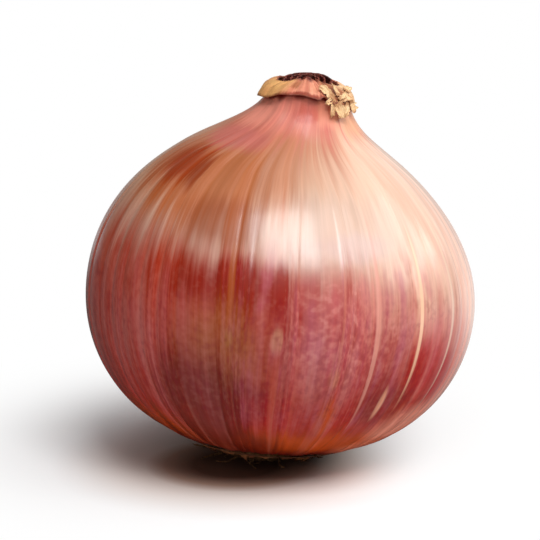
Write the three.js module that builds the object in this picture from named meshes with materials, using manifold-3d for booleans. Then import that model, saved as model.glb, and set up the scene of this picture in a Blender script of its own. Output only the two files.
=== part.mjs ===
// A whole bulb onion standing on its root plate. Millimetres, +Z up.
//
// The origin is the middle of the small flat spot that the onion stands on, under the root plate. The bulb
// is one grown solid. What comes away from it by hand is separate: the torn collar that the outermost dry
// skin leaves round the neck, the papery flakes on it, the dried leaf bases in the neck's mouth, the corky
// root plate, and the dried roots.
//
// The bulb's forms are first laid out round a straight axis. Then grown() makes them uneven, as a real bulb
// is, and a group leans them. The root plate and the roots stand on the surface, so they are laid out
// upright.

import * as THREE from "three";
import { mergeVertices } from "three/addons/utils/BufferGeometryUtils.js";
import Module from "manifold-3d";

// ---- Driving dimensions ----

// Heights are above the resting surface, along the bulb's own axis.
const BELLY_RADIUS = 37.8; // the widest half-width of the bulb
const BELLY_HEIGHT = 31.5;
const UNDERSIDE_HEIGHT = 2.8; // the bulb's lowest skin, which the root plate holds clear of the surface
const SHOULDER_RADIUS = 21; // where the shoulder turns from round to hollow
const SHOULDER_HEIGHT = 59.8;
const NECK_RADIUS = 7.9;
const NECK_HEIGHT = 71.4; // the top of the neck's hollow side, where it starts to round in to the rim
const RIM_HEIGHT = 73.6; // the rim round the neck's mouth
const MOUTH_RADIUS = 5.8; // the opening inside the rim
const MOUTH_FLOOR = 70.3;
const CROWN_HEIGHT = 75.8; // the tip of the dried leaf bases that close the mouth

const LEAN = THREE.MathUtils.degToRad(5); // the neck leans towards +X
const SHOULDER_SHIFT = 1; // the shoulder swells towards -X
const NECK_SHIFT = 1.5; // the neck grows towards +X

const PLATE_RADIUS = 9; // the corky disc that the roots grow from
const PLATE_FLAT_RADIUS = 8.2; // its flat underside, which the onion stands on
const ROOT_RADIUS = 0.34;
const ROOTS = 14;
const GAP = 0.3; // between pieces that touch

const AROUND = 64; // facets round the bulb
const UP = 11; // rings on each curve of the bulb's outline

// ---- Natural unevenness ----

// Pushes a point off the ideal round form: it makes the bulb plumper on two and on three sides, puts
// shallow folds down the neck, and lets the axis wander.
function grownPoint(point) {
  const angle = Math.atan2(point.y, point.x);
  const neckShare = THREE.MathUtils.smoothstep(point.z, SHOULDER_HEIGHT, NECK_HEIGHT);
  const plump = 0.012 * Math.cos(2 * (angle - 0.4)) + 0.007 * Math.cos(3 * angle + 1.1);
  const folds = 0.022 * neckShare * Math.cos(9 * angle + 0.7);
  point.x *= 1 + plump + folds;
  point.y *= 1 + plump + folds;

  const shoulderShare = THREE.MathUtils.smoothstep(point.z, BELLY_HEIGHT, SHOULDER_HEIGHT - 3);
  point.x += (SHOULDER_SHIFT + NECK_SHIFT) * neckShare - SHOULDER_SHIFT * shoulderShare;
}

// Moves each vertex of a geometry with a function that gets the vertex as a point, and its index.
function reshaped(geometry, movePoint) {
  const position = geometry.getAttribute("position");
  const point = new THREE.Vector3();
  for (let i = 0; i < position.count; i++) {
    movePoint(point.fromBufferAttribute(position, i), i);
    position.setXYZ(i, point.x, point.y, point.z);
  }
  return geometry;
}

const grown = (geometry) => reshaped(geometry, grownPoint);

// Turns an outline of (radius, height) points round +Z. LatheGeometry turns it round +Y, so it is stood up.
function turned(outline, facets = AROUND) {
  return new THREE.LatheGeometry(outline, facets).rotateX(Math.PI / 2);
}

// ---- Joining and cutting ----

const wasm = await Module();
wasm.setup();

// A closed geometry as a solid that can be cut. Its vertices are merged by place alone.
function solidOf(geometry) {
  const bare = new THREE.BufferGeometry();
  bare.setAttribute("position", geometry.getAttribute("position"));
  bare.setIndex(geometry.getIndex());
  const merged = mergeVertices(bare, 1e-3);
  return new wasm.Manifold(
    new wasm.Mesh({
      numProp: 3,
      vertProperties: new Float32Array(merged.getAttribute("position").array),
      triVerts: new Uint32Array(merged.getIndex().array),
    }),
  );
}

function geometryOf(solid) {
  const mesh = solid.getMesh();
  const geometry = new THREE.BufferGeometry();
  geometry.setAttribute("position", new THREE.BufferAttribute(mesh.vertProperties, mesh.numProp));
  geometry.setIndex(new THREE.BufferAttribute(mesh.triVerts, 1));
  geometry.computeVertexNormals();
  return geometry;
}

// ---- Materials ----

const finish = (color, roughness) => new THREE.MeshStandardMaterial({ color, roughness, metalness: 0 });

const bulbSkin = finish(0xb4645a, 0.4);
const drySkin = finish(0xd9a06a, 0.65);
const driedLeaf = finish(0x5a2018, 0.8);
const cork = finish(0x9a7448, 0.9);
const driedRoot = finish(0x8a6238, 0.85);

// ---- The bulb ----

const neckSide = new THREE.CubicBezierCurve(
  new THREE.Vector2(SHOULDER_RADIUS, SHOULDER_HEIGHT),
  new THREE.Vector2(14.5, 64.5),
  new THREE.Vector2(9.9, 66.4),
  new THREE.Vector2(NECK_RADIUS, NECK_HEIGHT),
);

// Half of the bulb's section: a dimple for the root plate, the round belly, the hollow side of the neck, its
// rim and the mouth inside it.
function bulbOutline() {
  const outline = new THREE.Path();
  outline.moveTo(0, UNDERSIDE_HEIGHT + 0.5);
  outline.lineTo(PLATE_RADIUS + 0.5, UNDERSIDE_HEIGHT);
  outline.bezierCurveTo(25, UNDERSIDE_HEIGHT + 0.1, BELLY_RADIUS, 15.3, BELLY_RADIUS, BELLY_HEIGHT);
  outline.bezierCurveTo(BELLY_RADIUS, 43, 31, 52.5, SHOULDER_RADIUS, SHOULDER_HEIGHT);
  outline.curves.push(neckSide);
  outline.currentPoint.copy(neckSide.v3);
  outline.bezierCurveTo(7.7, RIM_HEIGHT - 1.1, 7.1, RIM_HEIGHT - 0.1, MOUTH_RADIUS + 0.5, RIM_HEIGHT);
  outline.lineTo(MOUTH_RADIUS, RIM_HEIGHT - 0.4);
  outline.lineTo(MOUTH_RADIUS - 0.3, MOUTH_FLOOR);
  outline.lineTo(0, MOUTH_FLOOR);
  return outline.getPoints(UP);
}

const makeBulb = () => grown(turned(bulbOutline()));

// ---- The torn collar round the neck ----

const COLLAR_THICKNESS = 0.4;
const COLLAR_ROWS = 7;

// The collar's inside, from the lowest that its torn lip reaches, over the rim, to the furthest it folds in.
const collarInside = new THREE.CubicBezierCurve(
  new THREE.Vector2(NECK_RADIUS + 1.15, NECK_HEIGHT - 1.4),
  new THREE.Vector2(NECK_RADIUS + 0.5, NECK_HEIGHT + 0.7),
  new THREE.Vector2(NECK_RADIUS - 0.2, RIM_HEIGHT + 0.55),
  new THREE.Vector2(MOUTH_RADIUS - 0.9, RIM_HEIGHT + 1.5),
);

// A point by how far along the collar's inside it is (0 at the lip, 1 at the fold), how far off it, and its
// angle round the neck.
function collarPoint(along, offset, angle) {
  const point = collarInside.getPoint(along);
  const tangent = collarInside.getTangent(along);
  const radius = point.x + tangent.y * offset;
  return new THREE.Vector3(radius * Math.cos(angle), radius * Math.sin(angle), point.y - tangent.x * offset);
}

const LIP_PEAK_ANGLE = THREE.MathUtils.degToRad(-78); // the front, where the lip is torn highest

function lipAlong(angle) {
  const front = Math.exp(-(((angle - LIP_PEAK_ANGLE) / 0.8) ** 2));
  const tear = 0.05 * Math.sin(2 * angle + 0.6) + 0.03 * Math.sin(5 * angle) + 0.02 * Math.sin(11 * angle);
  return 0.12 + 0.24 * front + tear;
}

// The upper edge folds in over the mouth at the front, and stays off the leaf bases behind and towards -X.
function foldAlong(angle) {
  return 0.85 - 0.06 * Math.sin(angle) + 0.07 * Math.cos(angle) + 0.015 * Math.sin(7 * angle + 1);
}

// The section is one closed loop of (share of the way from lip to fold, distance off the inside).
function makeCollar() {
  const shares = Array.from({ length: COLLAR_ROWS + 1 }, (_, row) => row / COLLAR_ROWS);
  const section = [
    ...shares.map((share) => new THREE.Vector2(share, COLLAR_THICKNESS)),
    ...shares.toReversed().map((share) => new THREE.Vector2(share, 0)),
    new THREE.Vector2(0, COLLAR_THICKNESS),
  ];
  const ring = turned(section);
  reshaped(ring, (point, i) => {
    const { x: share, y: offset } = section[i % section.length];
    const turn = (2 * Math.PI * Math.floor(i / section.length)) / AROUND;
    const angle = ((turn + Math.PI) % (2 * Math.PI)) - Math.PI;
    const along = THREE.MathUtils.lerp(lipAlong(angle), foldAlong(angle), share);
    point.copy(collarPoint(along, offset, angle));
  });
  return grown(ring);
}

// ---- Papery flakes torn from the collar ----

const FLAKES = [
  { turn: 15, length: 2.4, width: 1.5 },
  { turn: 88, length: 1.7, width: 1.2 },
  { turn: 160, length: 2.2, width: 1.3 },
  { turn: 232, length: 2.6, width: 1.4 },
  { turn: 305, length: 2.6, width: 1.6 },
];
const FLAKE_THICKNESS = 0.35;
const FLAKE_STAR_ANGLE = THREE.MathUtils.degToRad(-48); // the flakes spread like a star from here
const FLAKE_STAR_ALONG = 0.46;
const FLAKE_STAR_HOLE = 0.7;
const FLAKE_CURL = 0.07; // how fast a flake's tip lifts off, per mm

// A flake is a pointed leaf shape that lies on the collar and curls away from it towards its tip.
function makeFlake({ turn, length, width }) {
  const shape = new THREE.Shape();
  shape.moveTo(0, -width * 0.25);
  shape.quadraticCurveTo(length * 0.6, -width, length, 0);
  shape.quadraticCurveTo(length * 0.5, width * 0.7, 0, width * 0.25);
  shape.closePath();
  const options = { depth: FLAKE_THICKNESS, bevelEnabled: false, curveSegments: 6 };
  const flat = new THREE.ExtrudeGeometry(shape, options);

  const direction = THREE.MathUtils.degToRad(turn);
  reshaped(flat, (point) => {
    const out = point.x + FLAKE_STAR_HOLE;
    const across = out * Math.cos(direction) - point.y * Math.sin(direction);
    const up = out * Math.sin(direction) + point.y * Math.cos(direction);
    const lift = COLLAR_THICKNESS + GAP + FLAKE_CURL * point.x ** 2 + point.z;
    const angle = FLAKE_STAR_ANGLE + across / NECK_RADIUS;
    point.copy(collarPoint(FLAKE_STAR_ALONG + up / collarInside.getLength(), lift, angle));
  });
  return grown(flat);
}

// ---- Dried leaf bases that fill the mouth ----

const LEAF_BASES = [
  { outer: 5.1, inner: 4.2, top: CROWN_HEIGHT - 1.5, waves: 5 },
  { outer: 3.9, inner: 3, top: CROWN_HEIGHT - 0.9, waves: 4 },
  { outer: 2.7, inner: 1.9, top: CROWN_HEIGHT - 0.4, waves: 3 },
];

// One shrivelled tube, with a ragged top edge that is higher towards the back and +X.
function makeLeafBase({ outer, inner, top, waves }) {
  const floor = MOUTH_FLOOR + GAP;
  const loop = [
    new THREE.Vector2(inner, floor),
    new THREE.Vector2(outer, floor),
    new THREE.Vector2(outer - 0.05, (floor + top) / 2),
    new THREE.Vector2(outer - 0.2, top - 0.2),
    new THREE.Vector2(inner + 0.2, top),
    new THREE.Vector2(inner, (floor + top) / 2),
    new THREE.Vector2(inner, floor),
  ];
  const tube = turned(loop, 32);
  reshaped(tube, (point) => {
    const angle = Math.atan2(point.y, point.x);
    const share = THREE.MathUtils.smoothstep(point.z, floor + 1, top - 0.3);
    const ragged = 0.2 * Math.sin(waves * angle + outer) + 0.1 * Math.sin((2 * waves + 1) * angle);
    const tilt = (0.25 * Math.sin(angle) + 0.3 * Math.cos(angle)) * (outer / LEAF_BASES[0].outer);
    point.z += (ragged + tilt) * share;
  });
  return grown(tube);
}

function makeLeafTip() {
  const floor = MOUTH_FLOOR + GAP;
  const outline = [
    new THREE.Vector2(0, floor),
    new THREE.Vector2(1.5, floor),
    new THREE.Vector2(1.6, CROWN_HEIGHT - 1.5),
    new THREE.Vector2(1.1, CROWN_HEIGHT - 0.3),
    new THREE.Vector2(0.5, CROWN_HEIGHT),
    new THREE.Vector2(0, CROWN_HEIGHT - 0.1),
  ];
  return grown(turned(outline, 12));
}

// ---- The root plate ----

// A low corky disc with a flat underside. Its top is cut to the bulb's underside, a gap below it.
function makeRootPlate(leanMatrix) {
  const height = UNDERSIDE_HEIGHT + 1.2;
  const outline = [
    new THREE.Vector2(0, 0),
    new THREE.Vector2(PLATE_FLAT_RADIUS, 0),
    new THREE.Vector2(PLATE_RADIUS, 0.5),
    new THREE.Vector2(PLATE_RADIUS - 0.2, height),
    new THREE.Vector2(0, height),
  ];
  const disc = solidOf(turned(outline, 40));
  const bulbAbove = makeBulb().applyMatrix4(leanMatrix).translate(0, 0, -GAP);
  return geometryOf(disc.subtract(solidOf(bulbAbove)));
}

// ---- The roots ----

// A dried root leaves the plate's edge, sinks to the surface and ends trimmed, between 3 and 7 mm out.
function makeRoot(index) {
  const spread = (2 * Math.PI * index) / ROOTS;
  const jitter = Math.sin(index * 2.4);
  const angle = spread + 0.06 * jitter;
  const underBulb = 0.5 + 0.5 * Math.cos(angle); // the lean brings the bulb's skin down on this side
  const length = 6.2 - 2.4 * underBulb + 0.9 * Math.sin(index * 4.1);
  const bend = 0.1 * Math.sin(index * 3.3);
  const tipRise = (1 - underBulb) * (0.35 + 0.3 * jitter);
  const place = (along, height, turn) => {
    const radius = PLATE_RADIUS + GAP + along;
    return new THREE.Vector3(radius * Math.cos(angle + turn), radius * Math.sin(angle + turn), height);
  };
  const path = new THREE.CatmullRomCurve3([
    place(0, 0.8, 0),
    place(length * 0.35, 0.55, bend * 0.3),
    place(length * 0.7, 0.45, bend),
    place(length, 0.5 + tipRise, bend * 1.2),
  ]);
  const section = new THREE.Shape();
  section.absellipse(0, 0, ROOT_RADIUS, ROOT_RADIUS, 0, 2 * Math.PI);
  return new THREE.ExtrudeGeometry(section, { extrudePath: path, steps: 8, curveSegments: 3 });
}

// ---- Assembly ----

function named(name, geometry, material) {
  const mesh = new THREE.Mesh(geometry, material);
  mesh.name = name;
  return mesh;
}

const leaning = new THREE.Group();
leaning.rotation.y = LEAN;
leaning.updateMatrix();
leaning.add(named("bulb", makeBulb(), bulbSkin));
leaning.add(named("neck_collar", makeCollar(), drySkin));
FLAKES.forEach((flake, i) => leaning.add(named(`torn_flake_${i + 1}`, makeFlake(flake), drySkin)));
LEAF_BASES.forEach((base, i) => leaning.add(named(`leaf_base_${i + 1}`, makeLeafBase(base), driedLeaf)));
leaning.add(named("leaf_tip", makeLeafTip(), driedLeaf));

const onion = new THREE.Group();
onion.add(leaning);
onion.add(named("root_plate", makeRootPlate(leaning.matrix), cork));
for (let i = 0; i < ROOTS; i++) {
  onion.add(named(`root_${String(i + 1).padStart(2, "0")}`, makeRoot(i), driedRoot));
}

export default onion;
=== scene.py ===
"""A whole bulb onion standing on its root plate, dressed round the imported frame.

The bulb's skin, the torn collar round its neck, the papery flakes, the shrivelled leaf bases in the mouth,
the cork root plate, the dried roots and the frill of torn skin round them are all modelled here in
millimetres, first round an upright axis, then grown uneven and leaned as the frame is.
"""
import math

import bpy
import numpy as np
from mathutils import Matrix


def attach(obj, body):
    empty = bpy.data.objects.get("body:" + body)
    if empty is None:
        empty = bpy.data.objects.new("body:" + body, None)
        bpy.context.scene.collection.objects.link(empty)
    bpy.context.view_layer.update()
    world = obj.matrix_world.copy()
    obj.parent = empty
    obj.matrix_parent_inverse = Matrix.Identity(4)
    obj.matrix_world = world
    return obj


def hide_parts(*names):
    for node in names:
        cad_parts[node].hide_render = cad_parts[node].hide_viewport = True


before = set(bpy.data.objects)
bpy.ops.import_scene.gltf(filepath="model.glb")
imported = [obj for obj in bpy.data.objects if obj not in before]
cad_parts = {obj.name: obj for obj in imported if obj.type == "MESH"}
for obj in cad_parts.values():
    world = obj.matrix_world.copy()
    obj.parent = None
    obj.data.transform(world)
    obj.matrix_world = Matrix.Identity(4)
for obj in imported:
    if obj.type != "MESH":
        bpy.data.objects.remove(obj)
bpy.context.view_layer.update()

MM = 0.001

# ---- The onion's dimensions, as in the frame, in millimetres ----

BELLY_RADIUS = 37.8
BELLY_HEIGHT = 31.5
UNDERSIDE_HEIGHT = 2.8
SHOULDER_RADIUS = 21.0
SHOULDER_HEIGHT = 59.8
NECK_RADIUS = 7.9
NECK_HEIGHT = 71.4
MOUTH_FLOOR = 70.3
LEAN = math.radians(5)
SHOULDER_SHIFT = 1.0
NECK_SHIFT = 1.5
PLUMPER_ON_TWO_SIDES = 0.012  # shares of the radius
PLUMPER_ON_THREE_SIDES = 0.007
NECK_FOLDS = 9
NECK_FOLD_DEPTH = 0.022
PLATE_RADIUS = 9.0
PLATE_FLAT_RADIUS = 8.2
ROOT_RADIUS = 0.34
ROOTS = 14
GAP = 0.3

# ---- What is finer here than in the frame, in millimetres ----

SKIN_INSET = 0.05  # the drawn outlines lie this far inside the frame's
FRONT_LIFT = 0.6  # the neck's rim is this much higher at the front
RIB_PANELS = 48
COLUMNS_PER_PANEL = 12
SHALLOWEST_RIB = 0.06
DEEPEST_RIB = 0.24
WAVE_DEPTH = 0.12  # of the skin's slow unevenness
NECK_GATHER_DEPTH = 0.09
ROOT_GATHER_DEPTH = 0.2
FIBRE_SPREAD = math.radians(13)

COLLAR_THICKNESS = 0.2
FLAKE_THICKNESS = 0.14
LEAF_THICKNESS = 0.28
FRILL_THICKNESS = 0.12
PLATE_TOP = 2.45
PLATE_SLOPE = 0.0875  # its top sinks towards +X, as the leaned bulb does


# ---- Curves and unevenness ----

def curve_points(start, pull_start, pull_end, end, count):
    """Points along a cubic curve, without its first one."""
    t = np.linspace(0, 1, count + 1)[1:, None]
    start, pull_start, pull_end, end = map(np.array, (start, pull_start, pull_end, end))
    return (
        (1 - t) ** 3 * start
        + 3 * (1 - t) ** 2 * t * pull_start
        + 3 * (1 - t) * t**2 * pull_end
        + t**3 * end
    )


def ease(value, low, high):
    """0 below low, 1 above high, and a soft step between."""
    share = np.clip((value - low) / (high - low), 0, 1)
    return share * share * (3 - 2 * share)


def grown(points):
    """Pushes points off the round form as the frame's are: plumper on some sides, with a folded neck."""
    x, y, z = points.T
    angle = np.arctan2(y, x)
    neck_share = ease(z, SHOULDER_HEIGHT, NECK_HEIGHT)
    plump = PLUMPER_ON_TWO_SIDES * np.cos(2 * (angle - 0.4))
    plump += PLUMPER_ON_THREE_SIDES * np.cos(3 * angle + 1.1)
    swell = 1 + plump + NECK_FOLD_DEPTH * neck_share * np.cos(NECK_FOLDS * angle + 0.7)
    shoulder_share = ease(z, BELLY_HEIGHT, SHOULDER_HEIGHT - 3)
    shift = (SHOULDER_SHIFT + NECK_SHIFT) * neck_share - SHOULDER_SHIFT * shoulder_share
    return np.stack([x * swell + shift, y * swell, z], axis=1)


def leaned(points):
    """Turns points about the origin so that the neck leans towards +X."""
    x, y, z = points.T
    return np.stack(
        [x * math.cos(LEAN) + z * math.sin(LEAN), y, z * math.cos(LEAN) - x * math.sin(LEAN)], axis=1
    )


def ripples(seed, angle, height, waves, fastest, tallest, slowest=1):
    """A seeded unevenness, mostly between -1 and 1, that closes on itself round the bulb."""
    rng = np.random.default_rng(seed)
    total = np.zeros_like(angle)
    for _ in range(waves):
        around = rng.integers(slowest, fastest + 1)
        climb = rng.uniform(-tallest, tallest)
        total += np.sin(around * angle + climb * height + rng.uniform(0, 2 * math.pi))
    return total / math.sqrt(waves)


def torn_edge(seed, angle, waves, fastest, slowest=1):
    """The same unevenness for an edge, which strays with the angle alone."""
    return ripples(seed, angle, 0, waves, fastest, 0.0, slowest)


def turn_from(angle, middle_degrees):
    """How far an angle is from a direction, in degrees between -180 and 180."""
    return (np.degrees(angle) - middle_degrees + 180) % 360 - 180


# ---- Modelling ----

def deselect_all():
    bpy.ops.object.select_all(action="DESELECT")


def edit_all():
    """Goes into edit mode with the whole mesh selected."""
    bpy.ops.object.mode_set(mode="EDIT")
    bpy.ops.mesh.select_all(action="SELECT")


def named(piece, name):
    piece.name = piece.data.name = name
    return piece


def work_on(piece):
    deselect_all()
    piece.select_set(True)
    bpy.context.view_layer.objects.active = piece


def turned(name, outline, steps):
    """An outline of (radius, height) drawn point by point and spun round the upright axis."""
    deselect_all()
    bpy.ops.mesh.primitive_plane_add(size=MM)
    piece = named(bpy.context.object, name)
    bpy.ops.object.mode_set(mode="EDIT")
    bpy.ops.mesh.merge(type="CENTER")
    bpy.ops.transform.translate(value=(outline[0][0] * MM, 0, outline[0][1] * MM))
    for (radius, height), (next_radius, next_height) in zip(outline, outline[1:]):
        step = ((next_radius - radius) * MM, 0, (next_height - height) * MM)
        bpy.ops.mesh.extrude_region_move(TRANSFORM_OT_translate={"value": step})
    bpy.ops.mesh.select_all(action="SELECT")
    bpy.ops.mesh.spin(steps=steps, angle=2 * math.pi, center=(0, 0, 0), axis=(0, 0, 1))
    bpy.ops.mesh.select_all(action="SELECT")
    bpy.ops.mesh.remove_doubles(threshold=0.002 * MM)
    bpy.ops.mesh.normals_make_consistent(inside=False)
    bpy.ops.object.mode_set(mode="OBJECT")
    return piece


def finished_with(piece, kind, **settings):
    """Adds a modifier to the piece and applies it."""
    modifier = piece.modifiers.new("finish", kind)
    for setting, value in settings.items():
        setattr(modifier, setting, value)
    work_on(piece)
    bpy.ops.object.modifier_apply(modifier=modifier.name)
    return piece


def subdivided(piece, levels):
    return finished_with(piece, "SUBSURF", levels=levels, render_levels=levels)


def smooth_shaded(piece, angle=180):
    work_on(piece)
    if angle == 180:
        bpy.ops.object.shade_smooth()
    else:
        bpy.ops.object.shade_smooth_by_angle(angle=math.radians(angle))
    return piece


def copied(piece, name):
    work_on(piece)
    bpy.ops.object.duplicate(linked=False)
    return named(bpy.context.object, name)


def joined(name, pieces):
    deselect_all()
    for piece in pieces:
        piece.select_set(True)
    bpy.context.view_layer.objects.active = pieces[0]
    bpy.ops.object.join()
    return named(pieces[0], name)


def vectors_of(elements, what):
    vectors = np.empty(3 * len(elements))
    elements.foreach_get(what, vectors)
    return vectors.reshape(-1, 3)


def points_of(piece):
    """The piece's vertices in millimetres, one row each."""
    return vectors_of(piece.data.vertices, "co") / MM


def turned_points_of(piece):
    """The angle, radius and height of each of the piece's vertices."""
    x, y, z = points_of(piece).T
    return np.arctan2(y, x), np.hypot(x, y), z


def at_turn(angle, radius, height):
    return np.stack([radius * np.cos(angle), radius * np.sin(angle), height], axis=1)


def swung(x, y, angle):
    return x * np.cos(angle) - y * np.sin(angle), x * np.sin(angle) + y * np.cos(angle)


def open_tube(name, radius, rows, steps, levels):
    """A tube one unit tall, to be shaped by the angle round it and the share of its height."""
    strip = [(radius, row / rows) for row in range(rows + 1)]
    return subdivided(turned(name, strip, steps), levels)


def tube_shares(tube):
    angle, _, height = turned_points_of(tube)
    return angle, np.clip(height, 0, 1)


def place_points(piece, points):
    piece.data.vertices.foreach_set("co", (points * MM).ravel())
    piece.data.update()


def grow_and_lean(piece, points):
    place_points(piece, leaned(grown(points)))


def walled(piece, thickness, offset=0):
    """Gives a sheet its thickness in millimetres, half to each side or, at -1, all inwards."""
    return finished_with(piece, "SOLIDIFY", thickness=thickness * MM, offset=offset)


def mark(piece, name, values):
    """Keeps a number or a vector for each vertex, for the materials to read."""
    kind, what = ("FLOAT", "value") if values.ndim == 1 else ("FLOAT_VECTOR", "vector")
    attribute = piece.data.attributes.new(name, kind, "POINT")
    attribute.data.foreach_set(what, values.astype(np.float32).ravel())


def mark_flow(piece, angle, rise):
    """The way the fibres run: the angle round the bulb, and the rise from the roots (0) to the top (1)."""
    mark(piece, "flow", np.stack([np.cos(angle), np.sin(angle), rise], axis=1))


def dress(piece, material, slot, *nodes):
    """Gives a finished piece its material and its place in the frame."""
    piece.data.materials.append(material)
    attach(piece, "root")
    if nodes:
        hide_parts(*nodes)


# ---- The bulb's skin ----

# The skin rises from 0 under the bulb to 1 over the neck. It is measured as an angle round this height.
RISE_CENTRE = 35.0


def rise_of(radius, height):
    return np.arctan2(height - RISE_CENTRE, radius) / math.pi + 0.5


def underside_curve(count):
    belly = BELLY_RADIUS - SKIN_INSET
    return curve_points((9.5, 2.85), (25, 2.95), (belly, 15.3), (belly, BELLY_HEIGHT), count)


def bulb_outline():
    inset = SKIN_INSET
    belly = BELLY_RADIUS - inset
    shoulder = (SHOULDER_RADIUS, SHOULDER_HEIGHT - inset)
    neck = (NECK_RADIUS - inset, NECK_HEIGHT)
    rows = [
        [(0, UNDERSIDE_HEIGHT + 0.5 + inset)],
        [(5, UNDERSIDE_HEIGHT + 0.3 + inset)],
        [(PLATE_RADIUS + 0.5, UNDERSIDE_HEIGHT + inset)],
        underside_curve(11),
        curve_points((belly, BELLY_HEIGHT), (belly, 43), (31, 52.5), shoulder, 9),
        curve_points(shoulder, (14.5, 64.5), (9.9, 66.4), neck, 10),
        curve_points(neck, (7.7, 72.6), (7.1, 73.45), (6.3, 73.55), 4),
        [(5.8, 73.15), (5.5, 71.8), (5.4, 70.5), (0, 70.45)],
    ]
    return [tuple(point) for part in rows for point in part]


def panel_of(angle):
    """Which rib panel an angle falls in, and how far across it."""
    turn = (angle % (2 * math.pi)) / (2 * math.pi) * RIB_PANELS
    index = np.floor(turn + 1e-4).astype(int) % RIB_PANELS
    return index, np.clip(turn - np.floor(turn + 1e-4), 0, 1)


def panel_edge(index, rise):
    """How far a panel's first edge strays from even spacing. The edges wander on their way up."""
    rng = np.random.default_rng(11)
    jitter = rng.uniform(-0.3, 0.3, RIB_PANELS)
    phase = rng.uniform(0, 2 * math.pi, (2, RIB_PANELS))
    index = index % RIB_PANELS
    wander = 0.11 * np.sin(5 * rise + phase[0][index]) + 0.05 * np.sin(13 * rise + phase[1][index])
    return jitter[index] + wander


def fibre_drift(angle, rise):
    """How far the fibres stray off the straight way up, in radians. They spread apart up the front."""
    climb = np.clip(np.tan((rise - 0.5) * math.pi * 0.9), -0.8, 0.8)
    fade = ease(rise, 0.06, 0.2) * ease(rise, 0.93, 0.78)
    return FIBRE_SPREAD * climb * np.cos(angle) * fade


def make_bulb_skin():
    skin = subdivided(turned("bulb_skin", bulb_outline(), RIB_PANELS * COLUMNS_PER_PANEL // 4), 2)
    normals = vectors_of(skin.data.vertex_normals, "vector")
    angle, radius, z = turned_points_of(skin)
    rise = rise_of(radius, z)

    index, across = panel_of(angle)
    lower, upper = panel_edge(index, rise), panel_edge(index + 1, rise)
    warped = angle + (lower * (1 - across) + upper * across) * 2 * math.pi / RIB_PANELS
    warped += fibre_drift(angle, rise)
    near_edge = np.abs(2 * across - 1)
    rng = np.random.default_rng(23)
    edge_depth = rng.uniform(SHALLOWEST_RIB, DEEPEST_RIB, RIB_PANELS)
    depth_here = np.where(across < 0.5, edge_depth[index], edge_depth[(index + 1) % RIB_PANELS])
    outside = ease(radius, 8.5, 15) * ease(rise, 0.02, 0.12)
    below_neck = ease(rise, 0.92, 0.8) * (0.4 + 0.6 * ease(rise, 0.72, 0.55))

    sunk = depth_here * (0.8 * near_edge**2.2 + 0.2 * near_edge**8) * outside * below_neck
    sunk += WAVE_DEPTH * outside * (1 + ripples(5, warped, rise * 9, 7, 6, 1.0)) * 0.5
    gathers = 0.5 + 0.5 * ripples(6, warped, rise * 6, 5, 26, 1.0)
    on_neck = ease(rise, 0.86, 0.95) * (1 - ease(z, 72.6, 73.4)) * ease(radius, 6.6, 7.4)
    sunk += NECK_GATHER_DEPTH * gathers * on_neck
    sunk += ROOT_GATHER_DEPTH * gathers * ease(rise, 0.3, 0.15) * outside

    moved = points_of(skin) - normals * sunk[:, None]
    height = moved[:, 2] + FRONT_LIFT * front_of(warped) * ease(z, 69.5, 72.5) * ease(radius, 4, 6)
    grow_and_lean(skin, at_turn(warped, np.hypot(moved[:, 0], moved[:, 1]), height))

    mark_flow(skin, angle, rise)
    mark(skin, "vein", near_edge * below_neck)
    # The dark red band just under the collar's lip is a crack, with painted shade where the lip overhangs.
    depth_below_lip = collar_guide(lip_along(warped), warped)[1] - height
    drop = 1.2 * np.exp(-((turn_from(warped, -128) / 6) ** 2))
    drop += 0.6 * np.exp(-((turn_from(warped, -94) / 20) ** 2))
    crack_and_shade_width = 0.3 + drop + 0.25 * np.clip(1 + torn_edge(7, warped, 5, 16, 3), 0, 2)
    mark(skin, "under_lip_crack_and_shade", ease(depth_below_lip, crack_and_shade_width, 0.1 * crack_and_shade_width) * ease(rise, 0.85, 0.92))
    return smooth_shaded(skin)


# ---- The torn collar round the neck ----

def front_of(angle):
    return np.exp(-((turn_from(angle, -88) / 60) ** 2))


FLANK_SHARE = 0.75  # the part of the collar's guide that runs up the neck's flank
FLANK_LENGTH = 8.0


def collar_guide(along, angle):
    """Radius and height of the curve that the collar lies on, and the way off it. It runs up the neck's
    flank, and from there in over the mouth, furthest at the front."""
    up = np.clip(along / FLANK_SHARE, 0, 1)
    pulls = [(9.0, 69.6), (9.05, 72.2), (8.6, 73.35), (6.2, 74.1)]
    away = 1 - up
    weights = (away**3, 3 * away**2 * up, 3 * away * up**2, up**3)
    slopes = (-3 * away**2, 3 * away**2 - 6 * away * up, 6 * away * up - 3 * up**2, 3 * up**2)
    radius, height = (sum(w * p[axis] for w, p in zip(weights, pulls)) for axis in (0, 1))
    run, climb = (sum(s * p[axis] for s, p in zip(slopes, pulls)) for axis in (0, 1))
    length = np.hypot(run, climb)

    inward = np.clip((along - FLANK_SHARE) / (1 - FLANK_SHARE), 0, 1)
    depth = np.maximum(-np.sin(angle), 0)
    reach = np.where(depth > 0.34, 6.2 - 2.1 / np.maximum(depth, 0.34), 0)
    reach = np.maximum(reach, 0.5)
    radius = radius - inward * reach
    height = height + 0.27 * inward * reach + FRONT_LIFT * front_of(angle) * ease(height, 70, 73)
    return radius, height, run / length, climb / length


def collar_point(along, off, angle):
    """A place on the collar's guide, and off it by some millimetres."""
    radius, height, run, climb = collar_guide(np.clip(along, 0, 1), angle)
    return at_turn(angle, radius + climb * off, height - run * off)


def lip_along(angle):
    """Where the collar's torn lower lip runs: highest at the front, and lowest towards +X."""
    front = np.exp(-((turn_from(angle, -95) / 42) ** 2))
    hanging = np.exp(-((turn_from(angle, -15) / 35) ** 2))
    tear = 0.02 * np.sin(2 * angle + 0.6) + 0.02 * np.sin(5 * angle) + 0.014 * np.sin(11 * angle + 1)
    return 0.17 + 0.27 * front - 0.1 * hanging + tear


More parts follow.
